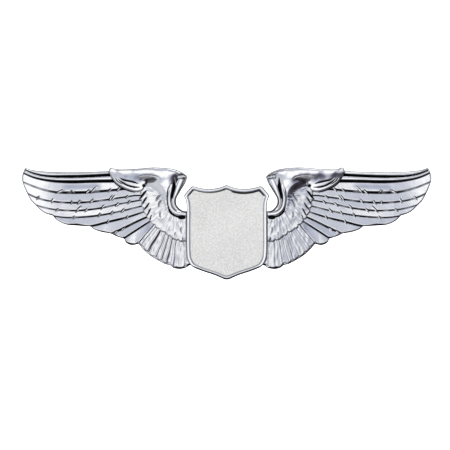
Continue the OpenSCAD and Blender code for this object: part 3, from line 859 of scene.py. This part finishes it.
def wrapped(path, flat, lift):
    """Flat points laid round a path: as path's two coordinates, and the distance across it."""
    at = lengths(path)
    tangent = np.gradient(path, at, axis=0)
    tangent /= np.hypot(*tangent.T)[:, None]
    a, b, along_a, along_b = [np.interp(flat[:, 0], at, row) for row in (*path.T, *tangent.T)]
    return a - lift * along_b, b + lift * along_a, flat[:, 1]


def sheet(loops, thickness, path, emboss=None):
    """A piece of bent sheet metal with softened edges, as coordinates round its path and faces."""
    flat, faces = grid_skin(loops, SHEET_PITCH)
    edge = np.clip(signed_distance(loops, *flat.T) / SHEET_BEVEL, 0, 1)
    half = 0.5 * thickness * (0.5 + 0.5 * np.sqrt(1 - (1 - edge) ** 2))
    lift = emboss(flat) if emboss else 0 * half
    count = len(flat)
    over, under = wrapped(path, flat, lift + half), wrapped(path, flat, lift - half)
    walls = [[b, a, a + count, b + count] for a, b in sorted(open_edges(faces))]
    faces = faces + [[v + count for v in face[::-1]] for face in faces] + walls
    return [np.concatenate(pair) for pair in zip(over, under)], faces


def lathe(profile, joined=False, around=64):
    """A profile of radii and heights turned round an axis: with flat ends, or joined into a ring."""
    points = np.vstack([np.insert(circle((0, 0), r, around), 2, h, axis=1) for r, h in profile])
    return points, ring_faces(len(profile), around, joined)


def behind(name, points, faces, centre, lift):
    """An object round a post, from points as x, z and height, with that lift behind the back."""
    vertices = points[:, [0, 2, 1]] * SCALE + [centre[0], lift, centre[1]]
    obj = new_object(name, vertices.tolist(), faces)
    shade_with_edges(obj, 55)
    return obj


# ---- materials -------------------------------------------------------------


class Nodes:
    """Short-hand for building a node tree."""

    def __init__(self, tree):
        self.tree = tree

    def feed(self, socket, value):
        """Links a socket to another node's output, or sets it to a number, vector or colour."""
        if isinstance(value, bpy.types.NodeSocket):
            self.tree.links.new(value, socket)
        else:
            socket.default_value = value

    def add(self, kind, inputs=None, **settings):
        node = self.tree.nodes.new("ShaderNode" + kind)
        for key, value in settings.items():
            setattr(node, key, value)
        for key, value in (inputs or {}).items():
            self.feed(node.inputs[key], value)
        return node

    def math(self, operation, *values):
        return self.add("Math", dict(enumerate(values)), operation=operation).outputs["Value"]

    def span(self, value, low, high, out_low=0, out_high=1, **settings):
        """A value whose range is moved to another range."""
        ends = {"From Min": low, "From Max": high, "To Min": out_low, "To Max": out_high}
        return self.add("MapRange", {"Value": value, **ends}, **settings).outputs["Result"]

    def mix(self, factor, first, second, blend="MIX"):
        """A mix of two colours, each a node's output or three numbers."""
        a, b = [(*colour, 1) if isinstance(colour, tuple) else colour for colour in (first, second)]
        return self.add("Mix", {0: factor, 6: a, 7: b}, data_type="RGBA", blend_type=blend).outputs[2]

    def noise(self, scale, detail, roughness=0.55, finer=None):
        """Cloudy noise fixed to the piece, which can be finer along x, y or z by those factors."""
        at = self.add("TexCoord").outputs["Object"]
        if finer:
            at = self.add("Mapping", {"Vector": at, "Scale": finer}).outputs["Vector"]
        grain = {"Vector": at, "Scale": scale, "Detail": detail, "Roughness": roughness}
        return self.add("TexNoise", grain).outputs["Fac"]


class Metal(Nodes):
    """A metal material, and short-hand for its nodes."""

    def __init__(self, name):
        self.material = bpy.data.materials.new(name)
        self.material.use_nodes = True
        super().__init__(self.material.node_tree)

    def surface(self, colour, roughness, relief, distance):
        """The material with these outputs as its colour, roughness and fine relief."""
        shader = self.tree.nodes["Principled BSDF"]
        normal = self.add("Bump", {"Strength": 1, "Distance": distance, "Height": relief}).outputs["Normal"]
        ends = {"Base Color": colour, "Metallic": 1, "Roughness": roughness, "Normal": normal}
        for key, value in ends.items():
            self.feed(shader.inputs[key], value)
        return self.material


def struck_metal():
    """Mirror plating over struck relief, with shade painted into its crevices and the faint ripple of
    polishing.
    """
    n = Metal("struck_metal_plating")
    painted_shade = n.add("Attribute", attribute_name="painted_shade").outputs["Fac"]
    plated = n.mix(n.span(n.noise(900, 3), 0.35, 0.7), (0.87, 0.875, 0.895), (0.94, 0.94, 0.945))
    # painted shade: where the crevice value is high the colour goes towards near black, and the surface is a
    # little rougher
    shade_mask = n.span(painted_shade, 0.05, 0.75)
    smears = n.span(n.noise(260, 5, 0.6, (1, 1, 2.5)), 0.3, 0.75, 0.05, 0.14)
    roughness = n.math("ADD", smears, n.math("MULTIPLY", shade_mask, 0.25))
    return n.surface(n.mix(shade_mask, plated, (0.015, 0.016, 0.02)), roughness, n.noise(1500, 2, 0.5), 0.000012)


def satin_metal():
    """Fine blasted plating of the shield's field."""
    n = Metal("satin_shield_field")
    grain = n.noise(3400, 3, 0.7)
    cloud = n.span(n.noise(160, 3, 0.6), 0.35, 0.65)
    pale = n.mix(cloud, (0.865, 0.857, 0.828), (0.925, 0.915, 0.885))
    dull = n.mix(cloud, (0.80, 0.793, 0.765), (0.875, 0.866, 0.835))
    colour = n.mix(n.span(grain, 0.35, 0.65), dull, pale)
    return n.surface(colour, n.span(grain, 0.38, 0.62, 0.37, 0.27), grain, 0.00002)


def plated_steel():
    """Bright nickel on drawn and pressed steel, with fine drawing lines and handling smears."""
    n = Metal("plated_steel_nickel")
    smears = n.noise(300, 5, 0.6)
    colour = n.mix(n.span(smears, 0.3, 0.75), (0.70, 0.69, 0.67), (0.80, 0.79, 0.77))
    lines = n.noise(1400, 3, 0.6, (1, 6, 1))
    return n.surface(colour, n.span(smears, 0.3, 0.75, 0.12, 0.27), lines, 0.000012)


def spring_steel():
    """Bare rolled strip, brushed along its length."""
    n = Metal("spring_steel_strip")
    lines = n.noise(900, 4, 0.65, (0.5, 8, 8))
    colour = n.mix(n.span(n.noise(420, 3), 0.3, 0.7), (0.46, 0.48, 0.52), (0.60, 0.61, 0.63))
    return n.surface(colour, n.span(lines, 0.3, 0.7, 0.22, 0.42), lines, 0.00002)


FINISHES = {make.__name__: make() for make in (struck_metal, satin_metal, plated_steel, spring_steel)}


def finish(obj, slot):
    """Gives a piece the finish of its material slot."""
    obj.data.materials.clear()
    obj.data.materials.append(FINISHES[slot])


# ---- pieces ----------------------------------------------------------------


def place(obj, slot, body, node):
    """Finishes a piece, hangs it on the body that it rides on, and hides the CAD node that it stands for."""
    finish(obj, slot)
    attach(obj, body)
    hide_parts(node)


def shield_rim():
    """The raised rim: rounded outside, nearly flat on top, with a leaning wall down to the field."""
    outer = rounded_corners(both(chain(SHIELD, steps=16)))
    inner = rounded_corners(both(chain(SHIELD_FIELD, steps=16)))
    x, z = inner.T
    below = smooth(-6.9, -7.7, z)
    above = smooth(5.1, 5.9, z)
    lean = 0.05 + (0.06 + 0.2 * smooth(0.5, 1.4, x)) * above
    foot = inner - np.column_stack([0.35 * lean * np.sign(x), lean * (above - 0.5 * below)])
    crest = between(outer, inner, 0.3 + 0.35 * below[:, None])
    # each ring's last number is painted shade: dark on the outer side, the outer rounding and the inner
    # wall, darker low outside and high inside, black at the floor
    rings = [(outer, RIM_BASE, 0), (outer, RIM_SIDE, 0.5 + 0.5 * below)]
    for turn in QUARTER[1:]:
        share = 1 - math.cos(turn)
        dark = 0.2 * above + (0.35 + 0.65 * below) * min(1, 1.8 * (1 - share))
        low = RIM_SIDE + 0.04
        rings.append((between(outer, crest, share), low + (RIM_TOP - low) * math.sin(turn), dark))
    rings += [
        (between(outer, inner, 0.5 + 0.2 * below[:, None]), RIM_TOP, 0.16 * above),
        (between(outer, inner, 0.85), RIM_TOP - 0.02, 0.06),
        (between(outer, inner, 0.94), RIM_TOP - 0.05, 0.2),
        (inner, RIM_TOP - 0.16, 0.3 + 0.7 * above),
        (foot, FIELD_TOP + 0.02, 0.4 + 0.6 * above),
        (foot, RIM_FLOOR, 1),
    ]
    return swept_solid("shield_rim", rings), foot


def shield_field(outline):
    """The plain satin plate inside the rim, with a softened edge."""
    rings = [(outline, height, 0) for height in (RIM_FLOOR, FIELD_TOP - 0.15, FIELD_TOP - 0.04)]
    # the flat top, in rings that close in on the middle
    rings += [(outline * share, FIELD_TOP, 0) for share in (0.994, 0.97, 0.9, 0.6)]
    return swept_solid("shield_field", rings)


for name, side in (("right_wing", 1), ("left_wing", -1)):
    place(half_wing(name, side), "struck_metal", "badge", "wing_plate")
rim, field_outline = shield_rim()
place(rim, "struck_metal", "badge", "shield_frame")
place(shield_field(field_outline), "satin_metal", "badge", "shield_insert")


def centre_of(node):
    """The x and z of the middle of a CAD piece."""
    low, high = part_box(node)
    return (low.x + high.x) / 2, (low.z + high.z) / 2


def post(side):
    """A nail soldered into the hollow: its head, a fillet of solder, two snap grooves and a point."""
    profile = POST_HEAD + SOLDER
    for groove in GROOVES:
        for h in np.linspace(-GROOVE_HALF, GROOVE_HALF, 9):
            profile.append((GROOVE_CENTRE - math.sqrt(GROOVE_R**2 - h * h), groove + h))
    node = f"post_{side}"
    obj = behind(f"{side}_post", *lathe(profile + POST_POINT), centre_of(node), 0)
    place(obj, "plated_steel", "badge", node)


def clutch_piece(side, name, points, faces, body, node, around="base_disc"):
    """Places a piece round the middle of a part of its clutch, with heights from the disc's face."""
    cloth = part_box(f"{side}_clutch_base_disc")[0].y
    obj = behind(f"{side}_{name}", points, faces, centre_of(f"{side}_clutch_{around}"), cloth)
    place(obj, "plated_steel", body, node)


def disc(side):
    """The clutch's dished disc, with a rolled rim and a collar."""
    rim = arc(DISC_RIM, DISC_RIM_R, np.radians(np.linspace(170, -90, 20)))
    points, faces = lathe([*DISC_COLLAR, *DISC_DISH, *rim, *DISC_UNDER], joined=True, around=96)
    clutch_piece(side, "disc", points, faces, f"{side}_clutch", f"{side}_clutch_base_disc")


def cage(side):
    """The clutch's strap, bent down into two cheeks with pivot holes and out into feet."""
    path = bent_path(CAGE_PATH, BEND_R)
    at = lengths(path)
    end, half = at[-1], CAGE_LENGTH / 2
    corners = np.array([(0, -half), (end, -half), (end, half), (0, half), (0, -half)])
    sides = [spline([a, b], n)[:-1] for a, b, n in zip(corners, corners[1:], (40, 16, 40, 16))]
    cheek = path[:, 0] < -CHEEK_X
    up = float(np.interp(PIVOT[1], path[cheek][:, 1], at[cheek]))
    loops = [rounded_corners(np.vstack(sides), 2), circle((end / 2, 0), BORE_R)]
    loops += [circle((a, x), PIVOT_HOLE_R, 24) for a in (up, end - up) for x in (-PIVOT[0], PIVOT[0])]
    (z, height, x), faces = sheet(loops, CAGE_T, path)
    points = np.column_stack([x, z, height])
    clutch_piece(side, "cage", points, faces, f"{side}_clutch", f"{side}_clutch_cage", around="cage")


def ear_outline():
    """An ear seen from above: the notch for the post, the neck with eased corners, and the round flare."""
    notch_end = math.asin(math.sqrt(NOTCH_R**2 - JAW_LINE[0][0] ** 2) / NOTCH_R)
    centre = EAR_TIP - EAR_R
    flare = math.sqrt(EAR_R**2 - (FLARE_X - centre) ** 2)
    start = math.atan2(flare, FLARE_X - centre) - 0.04
    neck = [(JAW_LINE[0][0], NECK_HALF - 0.1), (0.2, NECK_HALF), (1.2, NECK_HALF), (2.6, NECK_HALF)]
    neck += [(FLARE_X - 0.12, NECK_HALF), (FLARE_X, NECK_HALF + 0.12), (FLARE_X, flare - 0.15)]
    notch = arc((0, 0), NOTCH_R, np.linspace(0, notch_end, 6))
    upper = np.vstack([notch, neck, arc((centre, 0), EAR_R, np.linspace(start, 0, 22))])
    return np.vstack([upper, upper[-2:0:-1] * [1, -1]])


def ear(side, hand, sign):
    """One ear with its jaw: a notched leaf with two pressed ribs, and a hinge bead with trunnions."""
    path = np.vstack([spline(JAW_LINE), spline(EAR_LINE)])
    at = lengths(path)
    outline = ear_outline()
    outline[:, 0] = np.interp(outline[:, 0], path[:, 0], at)

    def ribs(flat):
        x = np.interp(flat[:, 0], at, path[:, 0])
        across = 1 - smooth(0.08, 0.32, np.abs(np.abs(flat[:, 1]) - EAR_RIB_Z))
        return EAR_RIB_H * across * smooth(3.4, 3.8, x) * (1 - smooth(5.3, 5.7, x))

    (x, height, z), faces = sheet([outline], LEAF_T, path, ribs)
    bead, bead_faces = lathe(BEAD + [(r, -h) for r, h in BEAD[::-1]], around=32)
    bead = bead[:, [0, 2, 1]] + [PIVOT[0], 0, PIVOT[1]]
    points = np.vstack([np.column_stack([x, z, height]), bead]) * [sign, 1, 1]
    faces = faces + [[v + len(x) for v in face] for face in bead_faces]
    body = f"{side}_clutch_{hand}_ear"
    clutch_piece(side, f"{hand}_ear", points, faces, body, body)


for side in ("left", "centre", "right"):
    post(side)
    disc(side)
    cage(side)
    ear(side, "right", 1)
    ear(side, "left", -1)

SLOTS = {row["node"]: row["material_slot"] for row in frame["record"]["subparts"]}
for name, node in frame["nodes"].items():
    if not node.hide_render:
        finish(node, SLOTS[name])

# ---- stage, light and camera -----------------------------------------------

SKY_CENTRE = (-0.07, -1, 0.02)  # the bright front's middle, a little to the left
SKY_STRENGTH = 1.15
# Colours of the studio at angles from that middle, in degrees
SKY_STOPS = [
    (0, (1.0, 1.0, 1.0)), (12, (0.98, 0.98, 0.98)), (18, (0.575, 0.595, 0.655)), (30, (0.39, 0.42, 0.52)),
    (48, (0.175, 0.178, 0.195)), (72, (0.03, 0.03, 0.033)), (120, (0.10, 0.10, 0.11)),
    (145, (0.42, 0.42, 0.44)), (180, (0.62, 0.62, 0.62)),
]
# Soft round patches of the studio: direction, outer and inner angle, how it is laid on, and colour
SKY_PATCHES = [
    ((0.42, -0.7, -0.55), 31, 14, "MULTIPLY", (0.22, 0.19, 0.205)),  # something dark, low on the right
    ((-0.64, -0.64, -0.42), 36, 10, "MIX", (0.56, 0.575, 0.61)),  # a pale card, low on the left
    ((0, -0.33, -0.94), 33, 12, "MIX", (0.24, 0.24, 0.26)),  # the floor
    ((1, 0, 0.05), 32, 8, "MIX", (0.5, 0.5, 0.52)),  # pale cards at both sides
    ((-1, 0, 0.05), 32, 8, "MIX", (0.5, 0.5, 0.52)),
]
CEILING = (0.75, 0.77, 0.8)


def sky():
    """A bright front with a grey ring and a dark surround, as in a white box round a camera."""
    world = bpy.data.worlds.new("studio")
    bpy.context.scene.world = world
    world.use_nodes = True
    world.node_tree.nodes.clear()
    n = Nodes(world.node_tree)
    direction = n.add("TexCoord").outputs["Generated"]

    def toward(aim):
        """The cosine of the angle from a direction, kept just under 1 so that it has an arc cosine."""
        unit = Vector(aim).normalized() * 0.9999
        return n.add("VectorMath", {0: direction, 1: unit}, operation="DOT_PRODUCT").outputs["Value"]

    turn = n.math("DIVIDE", n.math("ARCCOSINE", toward(SKY_CENTRE)), math.pi)
    ramp = n.add("ValToRGB", {"Fac": turn})
    stops = ramp.color_ramp.elements
    stops.remove(stops[1])
    for angle, colour in SKY_STOPS:
        stop = stops.new(angle / 180) if angle else stops[0]
        stop.color = (*colour, 1)
    up = n.add("SeparateXYZ", {"Vector": direction}).outputs["Z"]
    overhead = n.span(up, 0.5, 0.95, 0, 0.4)
    colour = n.mix(overhead, ramp.outputs["Color"], CEILING)
    for aim, outer, inner, blend, shade in SKY_PATCHES:
        edges = math.cos(math.radians(outer)), math.cos(math.radians(inner))
        amount = n.span(toward(aim), *edges, interpolation_type="SMOOTHSTEP")
        colour = n.mix(amount, colour, shade, blend)
    studio = n.add("Background", {"Color": colour, "Strength": SKY_STRENGTH}).outputs["Background"]
    plain = n.add("Background", {"Color": (1, 1, 1, 1)}).outputs["Background"]
    seen = n.add("LightPath").outputs["Is Camera Ray"]
    shader = n.add("MixShader", {"Fac": seen, 1: studio, 2: plain}).outputs["Shader"]
    n.add("OutputWorld", {"Surface": shader})


def key_light():
    """A square lamp over the badge, a little to the right and in front."""
    light = bpy.data.lights.new("key_light", "AREA")
    light.size = 0.5
    light.energy = 1.3
    lamp = bpy.data.objects.new("key_light", light)
    lamp.location = (0.2, -0.13, 0.65)
    lamp.rotation_euler = ((cad_low + cad_high) / 2 - lamp.location).to_track_quat("-Z", "Y").to_euler()
    bpy.context.scene.collection.objects.link(lamp)


FLOOR_DROP = 0.6  # the badge hangs this far above the pale floor
BACKDROP = 1.2  # and this far in front of the backdrop
REACH = 6.0  # how far the floor and the backdrop spread


def pale_floor():
    """A sheet of white paper, flat under the badge and turned up behind it."""
    near = [(-REACH, -REACH, -FLOOR_DROP), (REACH, -REACH, -FLOOR_DROP)]
    fold = [(REACH, BACKDROP, -FLOOR_DROP), (-REACH, BACKDROP, -FLOOR_DROP)]
    top = [(REACH, BACKDROP, REACH), (-REACH, BACKDROP, REACH)]
    obj = new_object("floor", near + fold + top, [[0, 1, 2, 3], [3, 2, 4, 5]])
    paper = bpy.data.materials.new("paper")
    paper.use_nodes = True
    shader = paper.node_tree.nodes["Principled BSDF"]
    looks = {"Base Color": (0.95, 0.95, 0.95, 1), "Roughness": 0.9, "Emission Color": (1, 1, 1, 1)}
    for key, value in {**looks, "Emission Strength": 0.9}.items():
        shader.inputs[key].default_value = value
    obj.data.materials.append(paper)
    obj.visible_glossy = False
    return obj


floor = pale_floor()
sky()
key_light()

span = cad_high.x - cad_low.x
VIEW_WIDTH = 1.1 * span  # what the picture's width takes in at the badge
DISTANCE = 0.55
SENSOR_WIDTH = 36
lens = bpy.data.cameras.new("camera")
lens.sensor_width = SENSOR_WIDTH
lens.lens = SENSOR_WIDTH * DISTANCE / VIEW_WIDTH
lens.clip_start = 0.01
camera = bpy.data.objects.new("camera", lens)
camera.location = (-0.0042 * span, -DISTANCE, 0)  # the badge is a little right of the photo's middle
camera.rotation_euler = (math.pi / 2, 0, 0)
bpy.context.scene.collection.objects.link(camera)
bpy.context.scene.camera = camera
bpy.context.scene.view_settings.view_transform = "Standard"
